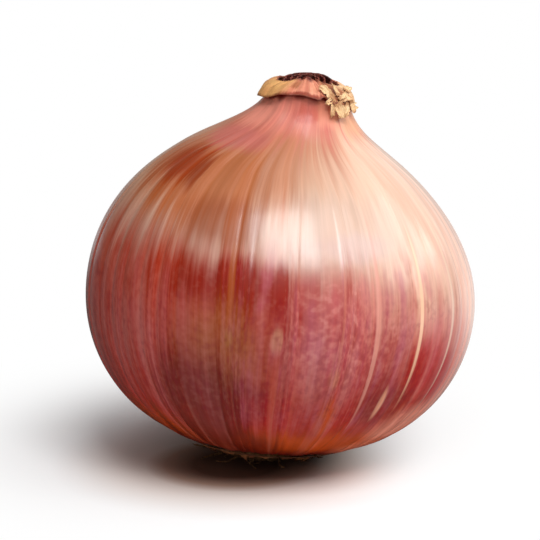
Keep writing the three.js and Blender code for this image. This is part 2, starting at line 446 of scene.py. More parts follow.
def make_collar():
    collar = open_tube("collar_paper", 8.0, rows=21, steps=96, levels=2)
    angle, share = tube_shares(collar)

    notches = np.abs(torn_edge(31, angle, 9, 27, 3))
    torn_more = 0.25 + ease(np.cos(np.radians(turn_from(angle, -10))), -0.2, 0.7)
    notches = notches * (0.7 + 0.5 * torn_edge(36, angle, 5, 9, 2))
    lip = lip_along(angle) + (0.06 * notches - 0.02) * torn_more
    fold = 1.0 - 0.05 * np.abs(torn_edge(32, angle, 7, 22, 3))
    along = lip + (fold - lip) * share

    creases = ripples(33, angle, share * 3, 8, 26, 1.0, 5)
    crumples = ripples(35, angle, share * 7, 8, 40, 1.5, 8)
    off = 0.22 + (0.12 * creases + 0.06 * crumples) * (0.5 + 0.5 * share)
    off += 0.25 * ease(share, 0.22, 0.0) * (0.6 + 0.6 * torn_edge(34, angle, 5, 14))
    off -= 0.25 * ease(share, 0.9, 1.0)
    place_points(collar, collar_point(along, off, angle))
    mark_flow(collar, angle, 0.94 + 0.05 * share)
    mark(collar, "from_lip", share)
    walled(collar, COLLAR_THICKNESS, offset=-1)
    grow_and_lean(collar, points_of(collar))
    return smooth_shaded(collar, 50)


# ---- Papery flakes torn from the collar ----

# Each flake is (spot, direction, length, width). Its spot on the collar is (angle, along), and its direction
# is in degrees: 0 is towards +X, 90 is up. Most lie round one star-shaped tear, and the last few beside it.
STAR = (-50, 0.36)
FLAKES = [
    (STAR, 4, 3.4, 1.1),
    (STAR, 78, 2.4, 0.9),
    (STAR, 146, 3.1, 1.2),
    (STAR, 238, 2.7, 1.0),
    (STAR, 302, 3.2, 1.2),
    (STAR, 40, 2.3, 0.7),
    (STAR, 188, 1.9, 0.8),
    (STAR, 270, 2.8, 0.8),
    ((-33, 0.31), 255, 2.0, 1.1),
    ((-18, 0.33), 272, 2.0, 1.4),
    ((-21, 0.5), 30, 2.1, 1.2),
]
FLAKES_IN_FRAME = 5


def flat_flake(name):
    """A strip of one unit by one, cut into small squares, to be shaped into a flake."""
    deselect_all()
    bpy.ops.mesh.primitive_plane_add(size=MM, location=(0.5 * MM, 0, 0))
    flake = named(bpy.context.object, name)
    bpy.ops.object.transform_apply(location=True, rotation=False, scale=False)
    edit_all()
    bpy.ops.mesh.subdivide(number_cuts=17)
    bpy.ops.object.mode_set(mode="OBJECT")
    return flake


def make_flake(number, sheet):
    (spot_angle, spot_along), direction, length, width = FLAKES[number]
    flake = copied(sheet, f"paper_flake_{number + 1}")
    along, across, _ = points_of(flake).T
    along = np.clip(along, 0, 1)
    rng = np.random.default_rng(60 + number)
    phase = rng.uniform(0, 6, 6)
    tapered = np.maximum(1 - along, 0.01) ** rng.uniform(0.4, 0.7) * (0.45 + 1.1 * along * (1 - 0.35 * along))
    nibble = 0.22 * np.abs(np.sin(8 * along + phase[0])) + 0.14 * np.sin(21 * along + phase[1])
    nibble += 0.1 * np.sin(34 * along + phase[2])
    half = width * tapered * (1 - nibble * (1 + 0.5 * np.sign(across)))
    out = rng.uniform(0.1, 0.7) + along * length * (1 + 0.1 * np.sin(9 * across + phase[2]) * along)
    side = rng.uniform(-0.3, 0.3) + across * half * 2 + rng.uniform(-0.7, 0.7) * along**2
    side += 0.12 * np.sin(6 * along + phase[3]) * along
    sideways, up = swung(out, side, math.radians(direction))
    cupped = rng.uniform(0.2, 0.9) * (across * 2) ** 2 * half
    twist = rng.uniform(-1.0, 1.0) * across * 2 * half * along
    curl = rng.uniform(0.15, 0.8) * along**2 * length / 3 + 0.12 * np.sin(5 * along + phase[4]) * along
    lift = 0.42 + 0.1 * (number % 3) + curl + cupped * (0.3 + 0.5 * along) + twist
    lift += 0.07 * np.sin(13 * across + 5 * along + phase[5]) * along
    lift = np.maximum(lift, 0.3)
    angle = math.radians(spot_angle) + sideways / NECK_RADIUS
    place_points(flake, collar_point(spot_along + up / FLANK_LENGTH, lift, angle))
    mark_flow(flake, across * 2, along)
    walled(flake, FLAKE_THICKNESS)
    grow_and_lean(flake, points_of(flake))
    return smooth_shaded(subdivided(flake, 1), 60)


# ---- Shrivelled leaf bases in the mouth ----

# Each leaf base is (name, radius, top, seed).
LEAF_FOOT = MOUTH_FLOOR + GAP + 0.1
LEAF_BASES = [
    ("leaf_shred_1", 4.85, 75.0, 41),
    ("leaf_shred_2", 3.6, 75.2, 42),
    ("leaf_shred_3", 2.35, 75.3, 43),
]


def make_leaf_base(name, radius, top, seed):
    """A shrivelled tube whose ragged top folds in over the mouth."""
    leaf = open_tube(name, radius, rows=10, steps=48, levels=1)
    angle, share = tube_shares(leaf)
    torn = 0.12 * np.abs(torn_edge(seed, angle, 7, 16, 2))
    tilt = (0.28 * np.sin(angle) + 0.25 * np.cos(angle)) * (radius / 5.1)
    front_drop = 1.6 * ease(-np.sin(angle), 0.0, 0.7)
    height = LEAF_FOOT + (top - LEAF_FOOT) * share + (tilt - torn - front_drop) * share**2
    crumple = 0.22 * ripples(seed + 10, angle, share * 4, 7, 15, 1.0, 3) * (0.3 + 0.7 * share)
    place_points(leaf, at_turn(angle, radius + crumple * 0.6 - 0.45 * share**3, height))
    mark_flow(leaf, angle, share)
    walled(leaf, LEAF_THICKNESS)
    grow_and_lean(leaf, points_of(leaf))
    return smooth_shaded(leaf, 60)


def make_leaf_tip():
    outline = [
        (0, LEAF_FOOT), (1.3, LEAF_FOOT), (1.45, 72), (1.5, 73.3),
        (1.35, 74.3), (1.0, 75.0), (0.45, 75.4), (0, 75.35),
    ]
    tip = subdivided(turned("leaf_shred_tip", outline, 24), 2)
    angle, radius, z = turned_points_of(tip)
    above_foot = z - LEAF_FOOT
    furrow = 1 - 0.22 * np.abs(np.sin(2.5 * angle + 0.5 * above_foot)) * ease(above_foot, 0, 2)
    grow_and_lean(tip, at_turn(angle, radius * furrow, z))
    mark_flow(tip, angle, above_foot / 5)
    return smooth_shaded(tip)


# ---- The root plate ----

def make_root_plate():
    outline = [
        (0, 0.02), (3, 0.02), (6, 0.02), (PLATE_FLAT_RADIUS - 0.1, 0.02), (PLATE_RADIUS - 0.15, 0.5),
        (PLATE_RADIUS - 0.1, 1.3), (PLATE_RADIUS - 0.25, PLATE_TOP), (6, PLATE_TOP), (3, PLATE_TOP),
        (0, PLATE_TOP),
    ]
    plate = subdivided(turned("root_plate_cork", outline, 48), 2)
    angle, radius, z = turned_points_of(plate)
    rim = ease(radius, PLATE_FLAT_RADIUS - 0.3, PLATE_FLAT_RADIUS + 0.4)
    gnarl = 0.5 + 0.5 * ripples(71, angle, z * 3, 8, 40, 1.0, 5)
    pull = 1 - 0.045 * gnarl * rim
    height = z * (PLATE_TOP - PLATE_SLOPE * radius * np.cos(angle)) / PLATE_TOP
    place_points(plate, at_turn(angle, radius * pull, height))
    mark_flow(plate, angle, radius / PLATE_RADIUS)
    return smooth_shaded(plate, 60)


# ---- The dried roots ----

ROOT_STEPS = 16


def straight_root():
    """A root of one unit along +X and one unit thick, drawn out ring by ring to a point."""
    deselect_all()
    bpy.ops.mesh.primitive_circle_add(
        vertices=8, radius=MM, fill_type="NGON", rotation=(0, math.radians(90), 0)
    )
    root = named(bpy.context.object, "straight_root")
    bpy.ops.object.transform_apply(location=False, rotation=True, scale=False)
    edit_all()
    for step in range(ROOT_STEPS):
        bpy.ops.mesh.extrude_region_move(TRANSFORM_OT_translate={"value": (MM / ROOT_STEPS, 0, 0)})
        slimmer = 0.95 if step < ROOT_STEPS - 2 else 0.6
        bpy.ops.transform.resize(value=(1, slimmer, slimmer))
    bpy.ops.mesh.select_all(action="SELECT")
    bpy.ops.mesh.normals_make_consistent(inside=False)
    bpy.ops.object.mode_set(mode="OBJECT")
    return root


def root_path(number):
    """The direction, length, sideways bend and rise of the frame's root with this number."""
    spread = 2 * math.pi * number / ROOTS
    jitter = math.sin(number * 2.4)
    angle = spread + 0.06 * jitter
    under_bulb = 0.5 + 0.5 * math.cos(angle)
    length = 6.2 - 2.4 * under_bulb + 0.9 * math.sin(number * 4.1)
    bend = 0.1 * math.sin(number * 3.3)
    rise = (1 - under_bulb) * (0.35 + 0.3 * jitter)
    return angle, length, bend, rise


def bent_along(points, start, angle, length, bend, rise, thick, seed):
    """Lays a straight root along its path over the ground."""
    share, side, up = points.T
    share = np.clip(share, 0, 1)
    rng = np.random.default_rng(seed)
    phase = rng.uniform(0, 6, 3)
    kink = 0.05 * np.sin(7 * share + phase[0]) + 0.025 * np.sin(17 * share + phase[1])
    out = start + share * length
    turn = angle + bend * share**1.5 + kink * share
    knots = 1 + 0.16 * np.sin(24 * share + phase[2])
    height = 0.8 - 0.38 * ease(share, 0, 0.6) + rise * share**3 + up * thick * knots
    return np.stack([*swung(out, side * thick * knots, turn), height], axis=1)


def make_root(number, straight):
    root = copied(straight, f"dried_root_{number + 1:02d}")
    path = root_path(number)
    points = bent_along(points_of(root), PLATE_RADIUS - 0.1, *path, ROOT_RADIUS, 80 + number)
    place_points(root, points)
    mark_flow(root, points[:, 0], points[:, 1])
    return smooth_shaded(subdivided(root, 1))


# Finer rootlets between the roots, too slight for the frame.
ROOTLETS = 26


def make_rootlets(straight):
    rng = np.random.default_rng(97)
    rootlets = []
    for number in range(ROOTLETS):
        rootlet = copied(straight, f"rootlet_{number}")
        angle = 2 * math.pi * (number + rng.uniform(-0.3, 0.3)) / ROOTLETS
        length = rng.uniform(1.4, 3.6)
        points = bent_along(
            points_of(rootlet), PLATE_RADIUS - 0.3, angle, length, rng.uniform(-0.2, 0.2),
            rng.uniform(0, 0.5), rng.uniform(0.1, 0.17), 120 + number,
        )
        place_points(rootlet, points + [0, 0, rng.uniform(-0.1, 0.7)])
        rootlets.append(rootlet)
    fine = joined("fine_rootlets", rootlets)
    points = points_of(fine)
    mark_flow(fine, points[:, 0], points[:, 1])
    return smooth_shaded(fine)


# ---- The frill of torn skin round the root plate ----

FRILL_RADIUS = 17.5
FRILL_INNER_RADIUS = 12.2


def make_frill():
    """A thin skirt under the bulb whose inner edge is torn into tips."""
    frill = subdivided(open_tube("torn_frill", 20.0, rows=8, steps=120, levels=1), 1)
    angle, share = tube_shares(frill)
    tips = np.abs(torn_edge(51, angle, 9, 46, 14))
    reach = np.clip(0.15 + 0.62 * tips, 0.1, 1.0)
    run = share * reach
    radius = FRILL_RADIUS + 0.8 * torn_edge(52, angle, 4, 7)
    radius -= (FRILL_RADIUS - FRILL_INNER_RADIUS) * run
    belly = underside_curve(60)
    skin_height = np.interp(radius, belly[:, 0], belly[:, 1])
    drop = (1.1 + 0.7 * torn_edge(53, angle, 5, 30, 6)) * run**1.3
    height = skin_height - 0.12 - np.clip(drop, 0, 3)
    curl = 0.2 * ripples(54, angle, share * 2, 6, 50, 1.0, 12) * run
    shaped = leaned(grown(at_turn(angle, radius, height + curl * 0.5)))
    shaped[:, 2] = np.maximum(shaped[:, 2], 0.25 + 0.2 * share)
    place_points(frill, shaped)
    mark_flow(frill, angle, share)
    return smooth_shaded(walled(frill, FRILL_THICKNESS), 60)


# ---- Wiring materials (a socket's id_data is the node tree it is in) ----

def paint(red, green, blue):
    """A colour given from 0 to 255 as seen, as the shaders want it."""
    shares = [value / 255 for value in (red, green, blue)]
    linear = [s / 12.92 if s <= 0.04045 else ((s + 0.055) / 1.055) ** 2.4 for s in shares]
    return (*linear, 1)


def feed(source, socket):
    """Puts a number, a colour or another node's output into a socket."""
    if isinstance(source, bpy.types.NodeSocket):
        socket.id_data.links.new(source, socket)
    else:
        socket.default_value = source


def add_node(tree, kind):
    return tree.nodes.new("ShaderNode" + kind)


def fill(node, *values, **labelled):
    """Feeds a node's inputs in their order, or by name with _ for a space, and gives its outputs."""
    for value, socket in zip(values, node.inputs):
        feed(value, socket)
    for label, value in labelled.items():
        feed(value, node.inputs[label.replace("_", " ")])
    return node.outputs


def tree_of(values):
    """The node tree that the first wired value is in."""
    return next(value.id_data for value in values if isinstance(value, bpy.types.NodeSocket))


def calc(operation, *values):
    node = add_node(tree_of(values), "Math")
    node.operation = operation
    return fill(node, *values)[0]


def times(result, *values):
    for value in values:
        result = calc("MULTIPLY", result, value)
    return result


def plus(result, *values):
    for value in values:
        result = calc("ADD", result, value)
    return result


def vector_calc(operation, first, second, result="Vector"):
    node = add_node(first.id_data, "VectorMath")
    node.operation = operation
    return fill(node, first, second)[result]


def remap(value, low, high, to_low=0.0, to_high=1.0, smooth=True):
    node = add_node(value.id_data, "MapRange")
    node.interpolation_type = "SMOOTHSTEP" if smooth else "LINEAR"
    return fill(node, value, low, high, to_low, to_high)[0]


def mixed(share, first, second):
    """One colour giving way to another. The mixing node keeps its colours at the places 6 and 7."""
    node = add_node(share.id_data, "Mix")
    node.data_type = "RGBA"
    for source, place in ((share, 0), (first, 6), (second, 7)):
        feed(source, node.inputs[place])
    return node.outputs[2]


def toned(colour, value, saturation=1.0):
    """The colour made lighter or darker, and more or less saturated."""
    node = add_node(colour.id_data, "HueSaturation")
    return fill(node, Color=colour, Value=value, Saturation=saturation)[0]


def noise(vector, scale=1.0, detail=2.0, roughness=0.5):
    node = add_node(vector.id_data, "TexNoise")
    return fill(node, Vector=vector, Scale=scale, Detail=detail, Roughness=roughness)[0]


def noise_along(flow, stretch, detail=2.0, roughness=0.5):
    """Noise that is this many times finer along each part of the flow."""
    return noise(vector_calc("MULTIPLY", flow, stretch), 1.0, detail, roughness)


def facing(flow, way):
    """How far a place on the bulb faces a way: 1 straight to it, and -1 away."""
    return vector_calc("DOT_PRODUCT", flow, way, "Value")


def read_mark(tree, name, result="Fac"):
    node = add_node(tree, "Attribute")
    node.attribute_name = name
    return node.outputs[result]


def object_place(tree):
    return add_node(tree, "TexCoord").outputs["Object"]


def split(vector):
    return fill(add_node(vector.id_data, "SeparateXYZ"), vector)


def joined_values(*values):
    """Three numbers as one vector."""
    return fill(add_node(tree_of(values), "CombineXYZ"), *values)[0]


def ramp(value, stops):
    """A run of colours along a value, from (position, colour) stops."""
    node = add_node(value.id_data, "ValToRGB")
    elements = node.color_ramp.elements
    while len(elements) < len(stops):
        elements.new(0.5)
    for element, (position, colour) in zip(elements, stops):
        element.position = position
        element.color = paint(*colour)
    return fill(node, value)[0]


def new_group(name, inputs, outputs):
    """An empty node group. Each input is (name, kind, starting value) and each output (name, kind)."""
    group = bpy.data.node_groups.new(name, "ShaderNodeTree")
    for label, kind, value in inputs:
        socket = group.interface.new_socket(name=label, in_out="INPUT", socket_type="NodeSocket" + kind)
        if kind == "Float":
            socket.default_value = value
    for label, kind in outputs:
        group.interface.new_socket(name=label, in_out="OUTPUT", socket_type="NodeSocket" + kind)
    taken = group.nodes.new("NodeGroupInput").outputs
    given = group.nodes.new("NodeGroupOutput").inputs
    return group, taken, given


def use_group(group, **values):
    node = add_node(tree_of(values.values()), "Group")
    node.node_tree = group
    return fill(node, **values)


def fibre_group():
    """Streaks that run up the skin, broad, narrow and as fine as hairs."""
    group, taken, given = new_group(
        "Fibres",
        [("Flow", "Vector", None), ("Around", "Float", 1.0), ("Up", "Float", 1.0)],
        [("Broad", "Float"), ("Streaks", "Float"), ("Hairs", "Float")],
    )
    stretch = joined_values(taken["Around"], taken["Around"], taken["Up"])
    flow = vector_calc("MULTIPLY", taken["Flow"], stretch)
    sizes = [
        ("Broad", (7, 7, 2.2), 2, 0.5), ("Streaks", (19, 19, 2.8), 3, 0.6), ("Hairs", (64, 64, 4.5), 3, 0.65),
    ]
    for label, stretched, detail, roughness in sizes:
        value = noise_along(flow, stretched, detail, roughness)
        feed(remap(value, 0.3, 0.7, smooth=False), given[label])
    return group


def patch_group():
    """A soft-edged patch of another colour on the skin, feathered along the fibres."""
    group, taken, given = new_group(
        "Patch",
        [
            ("Flow", "Vector", None), ("Feather", "Float", 0.5), ("Direction", "Float", 0.0),
            ("Half Width", "Float", 0.5), ("Rise", "Float", 0.5), ("Half Height", "Float", 0.1),
            ("Strength", "Float", 1.0),
        ],
        [("Mask", "Float")],
    )
    direction = taken["Direction"]
    centre = joined_values(calc("COSINE", direction), calc("SINE", direction), 0.0)
    cosine = facing(taken["Flow"], centre)
    turn = calc("ARCCOSINE", calc("MINIMUM", calc("MAXIMUM", cosine, -1.0), 1.0))
    across = calc("DIVIDE", turn, taken["Half Width"])
    height = calc("SUBTRACT", split(taken["Flow"])[2], taken["Rise"])
    along = calc("DIVIDE", height, taken["Half Height"])
    distance = calc("SQRT", plus(times(across, across), times(along, along)))
    feather = times(calc("SUBTRACT", taken["Feather"], 0.5), 0.55)
    mask = remap(plus(distance, feather), 1.35, 0.55)
    feed(times(mask, taken["Strength"]), given["Mask"])
    return group


def mottle_group():
    """Blotches and fine grain fixed in the piece."""
    group, taken, given = new_group(
        "Mottle",
        [("Place", "Vector", None), ("Size", "Float", 2.0)],
        [("Blotches", "Float"), ("Grain", "Float")],
    )
    scaled = add_node(group, "VectorMath")
    scaled.operation = "SCALE"
    place = fill(scaled, taken["Place"], Scale=calc("DIVIDE", 1000.0, taken["Size"]))[0]
    blotches = noise(place, detail=3, roughness=0.6)
    grain = noise(place, scale=9, detail=2)
    feed(remap(blotches, 0.35, 0.65, smooth=False), given["Blotches"])
    feed(remap(grain, 0.3, 0.7, smooth=False), given["Grain"])
    return group


FIBRES = fibre_group()
PATCH = patch_group()
MOTTLE = mottle_group()


def new_material(name):
    material = bpy.data.materials.new(name)
    material.use_nodes = True
    shader = material.node_tree.nodes["Principled BSDF"]
    return material, material.node_tree, shader


def finish(shader, colour, roughness, height, depth):
    """Wires a colour, a roughness and a bump that is this deep, in millimetres, into a shader."""
    bump = fill(add_node(shader.id_data, "Bump"), Distance=depth * MM, Height=height)[0]
    fill(shader, Base_Color=colour, Roughness=roughness, Normal=bump)


def patched(colour, flow, feather, patches):
    """Lays patches over a colour. Each is (direction, half width, rise, half height, strength, colour), with
    the direction and the half width in degrees."""
    for direction, half_width, rise, half_height, strength, patch_colour in patches:
        mask = use_group(
            PATCH, Flow=flow, Feather=feather, Direction=math.radians(direction),
            Half_Width=math.radians(half_width), Rise=rise, Half_Height=half_height, Strength=strength,
        )["Mask"]
        colour = mixed(mask, colour, paint(*patch_colour))
    return colour


# ---- The skin's finish ----

ROOTS_TO_NECK = [
    (0.0, (90, 28, 10)),
    (0.2, (134, 28, 4)),
    (0.27, (182, 66, 12)),
    (0.33, (188, 56, 46)),
    (0.45, (186, 84, 76)),
    (0.57, (178, 80, 68)),
    (0.635, (194, 142, 124)),
    (0.74, (216, 172, 144)),
    (0.85, (199, 134, 106)),
    (0.93, (206, 108, 92)),
]

# Where the skin's colour departs from that run.
SKIN_PATCHES = [
    # the side towards +X, cream over the shoulder and paler down the belly: partly the skin's own colour,
    # partly painted light falling on that side
    (-24, 52, 0.7, 0.2, 0.95, (240, 200, 176)),
    (12, 39, 0.5, 0.22, 0.92, (244, 200, 182)),
    (-8, 17, 0.36, 0.1, 0.85, (240, 172, 160)),
    (-12, 36, 0.92, 0.05, 0.8, (234, 172, 134)),
    # the paler patch at the front where the highlight falls is painted sheen
    (-74, 30, 0.67, 0.08, 0.6, (214, 182, 164)),
    # crimson and mauve on the belly
    (-104, 17, 0.56, 0.05, 0.95, (140, 22, 10)),
    (-95, 13, 0.46, 0.13, 0.45, (150, 44, 32)),
    (-107, 13, 0.45, 0.09, 0.9, (164, 86, 52)),
    (-99, 9, 0.365, 0.045, 0.6, (128, 28, 48)),
    (-72, 18, 0.47, 0.12, 0.5, (194, 102, 106)),
    (-52, 6, 0.4, 0.03, 0.5, (152, 34, 48)),
    (-31, 17, 0.42, 0.09, 0.5, (196, 76, 70)),
    (-48, 10, 0.36, 0.04, 0.75, (142, 32, 30)),
    (-66, 14, 0.635, 0.03, 0.4, (214, 184, 182)),
    (-38, 7, 0.43, 0.045, 0.7, (176, 32, 40)),
    (-29, 7, 0.4, 0.04, 0.6, (184, 42, 46)),
    (-37, 11, 0.34, 0.03, 0.6, (178, 46, 34)),
    (-88, 30, 0.345, 0.035, 0.5, (178, 46, 50)),
    (-116, 18, 0.34, 0.1, 0.85, (118, 30, 18)),
    # orange and brown towards the roots
    (-71, 5, 0.335, 0.05, 0.7, (206, 92, 44)),
    (-60, 45, 0.262, 0.035, 0.85, (200, 78, 18)),
    # the pale patch low on the side towards +X is partly its paler skin, partly painted light bounced from
    # the floor
    (-30, 15, 0.3, 0.05, 0.9, (240, 158, 138)),
    (-38, 14, 0.225, 0.04, 0.8, (226, 132, 104)),
    (-108, 24, 0.25, 0.05, 0.8, (120, 24, 2)),
    # the tan and dark marks on the shoulder
    (-128, 36, 0.745, 0.1, 0.75, (182, 90, 40)),
    (-104, 20, 0.79, 0.1, 0.45, (186, 118, 84)),
    (-152, 24, 0.77, 0.075, 0.6, (170, 78, 50)),
    (-145, 14, 0.77, 0.05, 0.8, (148, 38, 8)),
    (-130, 3.5, 0.76, 0.05, 0.7, (132, 38, 8)),
    (-110, 14, 0.67, 0.05, 0.65, (158, 84, 56)),
    (-140, 30, 0.86, 0.035, 0.7, (204, 112, 110)),
    (-116, 62, 0.92, 0.035, 0.6, (222, 136, 122)),
    (-156, 38, 0.925, 0.04, 0.8, (238, 156, 138)),
    # the lighter patch under the flakes is painted light that lifts their shadow
    (-60, 14, 0.925, 0.025, 0.6, (240, 160, 132)),
    (-88, 16, 0.921, 0.01, 0.35, (186, 62, 56)),
    # small spots
    (-91, 1.4, 0.478, 0.02, 0.55, (214, 160, 132)),
    (-106, 1.8, 0.475, 0.02, 0.5, (162, 106, 62)),
    (-80, 2.2, 0.395, 0.014, 0.5, (208, 108, 104)),
    (-73, 2.3, 0.42, 0.018, 0.5, (216, 142, 110)),
    # the far side
    (150, 34, 0.47, 0.16, 0.75, (160, 46, 40)),
    (120, 20, 0.36, 0.08, 0.6, (190, 84, 60)),
    (95, 45, 0.7, 0.14, 0.6, (216, 160, 128)),
    (60, 20, 0.42, 0.12, 0.6, (188, 80, 80)),
    (170, 16, 0.66, 0.1, 0.5, (176, 84, 48)),
]

# Single veins bleached to cream, as narrow patches.
PALE_VEINS = [
    (-43, 0.6, 0.52, 0.15, 0.8, (250, 206, 172)),
    (-49.5, 0.9, 0.37, 0.035, 0.85, (240, 172, 142)),
    (-58, 0.8, 0.49, 0.17, 0.7, (238, 172, 158)),
    (-73, 0.8, 0.5, 0.11, 0.4, (214, 130, 112)),
    (-90.5, 1.3, 0.38, 0.08, 0.35, (200, 98, 74)),
    (-106, 1.3, 0.58, 0.06, 0.6, (176, 94, 48)),
    (-31, 0.7, 0.55, 0.2, 0.5, (250, 220, 190)),
    (130, 1.0, 0.5, 0.2, 0.5, (236, 190, 160)),
    (60, 0.9, 0.45, 0.15, 0.5, (240, 196, 172)),
    (172, 1.0, 0.4, 0.12, 0.5, (226, 150, 120)),
    (-170, 0.9, 0.46, 0.14, 0.5, (226, 150, 120)),
]


def banded_belly(colour, flow, rise):
    """Bands the belly mauve and brick along the fibres, and speckles it."""
    clouds = noise_along(flow, (6, 6, 11), detail=3, roughness=0.6)
    bands = plus(times(noise_along(flow, (13, 13, 4)), 0.65), times(clouds, 0.6))
    specks = plus(noise_along(flow, (40, 40, 90), detail=1.5), times(clouds, 0.3))

    # The belly, apart from its paler side towards +X, which is partly painted light
    belly = times(remap(rise, 0.26, 0.36), remap(rise, 0.68, 0.54))
    belly = times(belly, remap(facing(flow, (1, 0, 0)), 1.0, 0.7))
    front_right = facing(flow, (0.5, -0.866, 0))
    mauve = times(remap(bands, 0.6, 0.8), belly, remap(front_right, 0.6, 0.85, 0.15, 0.6))
    brick = times(remap(bands, 0.62, 0.47), belly, 0.62)
    colour = mixed(mauve, colour, paint(186, 92, 108))
    colour = mixed(brick, colour, paint(160, 44, 30))

    # Specks, more of them at the front and right
    flecked = use_group(
        PATCH, Flow=flow, Direction=math.radians(-68), Half_Width=0.35, Rise=0.5, Half_Height=0.1,
        Strength=0.26,
    )["Mask"]
    pale_specks = times(remap(specks, 0.6, 0.86), belly, plus(0.08, flecked))
    dark_specks = times(remap(specks, 0.66, 0.42), belly, remap(rise, 0.58, 0.5), 0.3)
    colour = mixed(pale_specks, colour, paint(222, 148, 136))
    return mixed(dark_specks, colour, paint(132, 26, 48))


def veined(colour, vein, rise, broad):
    """Draws the veins where the ribs meet: brown over the tan shoulder, and pale below it."""
    line = times(remap(vein, 0.74, 1.0), remap(broad, 0.3, 0.9))
    tan_part = remap(rise, 0.56, 0.66)
    red_part = calc("SUBTRACT", 1.0, tan_part)
    colour = mixed(times(line, tan_part, 0.5), colour, paint(158, 84, 60))
    colour = mixed(times(line, red_part, 0.2), colour, paint(216, 138, 120))
    browned = times(remap(broad, 0.6, 1.0), tan_part, remap(rise, 0.9, 0.82), 0.3)
    return mixed(browned, colour, paint(168, 98, 66))


def streaked(colour, rise, broad, streaks, hairs):
    """Streaks the skin along its fibres, lighter and darker than what lies round them, softer up the neck."""
    strength = times(remap(rise, 0.8, 0.92, 1.0, 0.32), remap(rise, 0.58, 0.7, 1.0, 0.55))
    streaks = times(streaks, strength)
    hairs = times(hairs, strength)
    value = plus(1.0, times(streaks, 0.24), times(hairs, 0.18), times(broad, 0.22))
    return toned(colour, value, plus(1.04, times(streaks, -0.2)))


def make_skin_material():
    material, tree, shader = new_material("onion_skin")
    flow = read_mark(tree, "flow", "Vector")
    rise = split(flow)[2]
    fibres = use_group(FIBRES, Flow=flow, Around=1.0, Up=1.0)
    swings = [calc("SUBTRACT", fibres[size], 0.5) for size in ("Broad", "Streaks", "Hairs")]

    colour = ramp(plus(rise, times(swings[1], 0.06)), ROOTS_TO_NECK)
    colour = patched(colour, flow, fibres["Streaks"], SKIN_PATCHES)
    colour = banded_belly(colour, flow, rise)
    colour = veined(colour, read_mark(tree, "vein"), rise, fibres["Broad"])
    colour = patched(colour, flow, fibres["Hairs"], PALE_VEINS)
    colour = streaked(colour, rise, *swings)
    # Paints the band under the collar's lip dark red: a crack with painted shade.
    colour = mixed(read_mark(tree, "under_lip_crack_and_shade"), colour, paint(112, 16, 8))

    roughness = plus(0.32, times(fibres["Streaks"], 0.16))
    height = plus(times(fibres["Streaks"], 0.6), times(fibres["Hairs"], 0.4))
    finish(shader, colour, roughness, height, 0.035)
    coat = times(remap(rise, 0.8, 0.92, 1.0, 0.3), remap(rise, 0.2, 0.36, 0.3, 1.0))
    fill(shader, Specular_IOR_Level=0.3, Coat_Roughness=0.2, Coat_Weight=coat)
    return material


# ---- The dry paper's finish ----

COLLAR_PATCHES = [
    (-160, 42, 0.965, 0.08, 0.95, (224, 170, 102)),
    (-20, 40, 0.965, 0.08, 0.9, (250, 212, 160)),
    (110, 60, 0.965, 0.08, 0.7, (222, 176, 124)),
    (-112, 6, 0.973, 0.014, 0.8, (150, 84, 38)),
    # the dark red line along the front of the lip is a crack, with painted shade under the lip
    (-92, 36, 0.941, 0.0105, 0.95, (142, 38, 22)),
    # the brown under the star of flakes is the gaps between them, partly painted shade
    (-46, 26, 0.962, 0.03, 0.95, (140, 72, 30)),
]


def dry_material(name, around, up, blotch_size):
    """A new material with its fibres, this fine round and up the piece, and its blotches, in millimetres."""
    material, tree, shader = new_material(name)
    flow = read_mark(tree, "flow", "Vector")
    fibres = use_group(FIBRES, Flow=flow, Around=around, Up=up)
    mottle = use_group(MOTTLE, Place=object_place(tree), Size=blotch_size)
    return material, shader, flow, fibres, mottle


def grainy_finish(shader, colour, rough, grain, relief, relief_share, depth):
    """Finishes a dry piece: rougher with its grain, and in relief with its grain and one thing more."""
    roughness = plus(rough[0], times(grain, rough[1]))
    height = plus(times(relief, relief_share), times(grain, 1 - relief_share))
    finish(shader, colour, roughness, height, depth)


def make_collar_material():
    material, shader, flow, fibres, mottle = dry_material("collar_paper", 0.7, 3.0, 1.6)
    from_lip = read_mark(flow.id_data, "from_lip")
    colour = mixed(fibres["Broad"], paint(222, 128, 104), paint(236, 166, 132))
    colour = patched(colour, flow, fibres["Streaks"], COLLAR_PATCHES)
    colour = mixed(times(mottle["Blotches"], 0.3), colour, paint(196, 108, 66))
    near_lip = plus(from_lip, times(mottle["Blotches"], 0.06))
    colour = mixed(times(remap(near_lip, 0.14, 0.04), 0.75), colour, paint(112, 44, 16))
    colour = mixed(times(remap(from_lip, 0.8, 0.95), 0.85), colour, paint(112, 34, 24))
    colour = toned(colour, plus(0.85, times(fibres["Streaks"], 0.3)))
    grainy_finish(shader, colour, (0.5, 0.15), mottle["Grain"], fibres["Streaks"], 0.6, 0.08)
    return material


def make_paper_material(name, pale, deep, edge):
    """Dry onion paper on flakes and torn tips: pale, veined along its length, browned at both its ends."""
    material, shader, flow, fibres, mottle = dry_material(name, 0.6, 0.5, 1.2)
    colour = mixed(fibres["Broad"], paint(*pale), paint(*deep))
    colour = mixed(times(mottle["Blotches"], 0.35), colour, paint(*deep))
    length = split(flow)[2]
    tip = remap(plus(length, times(mottle["Blotches"], 0.2)), 0.85, 1.15)
    rooted = remap(plus(length, times(mottle["Blotches"], -0.2)), 0.32, 0.05)
    colour = mixed(times(plus(tip, rooted), 0.7), colour, paint(*edge))
    colour = toned(colour, plus(0.88, times(fibres["Hairs"], 0.24)))
    grainy_finish(shader, colour, (0.55, 0.2), mottle["Grain"], fibres["Streaks"], 0.5, 0.06)
    return material


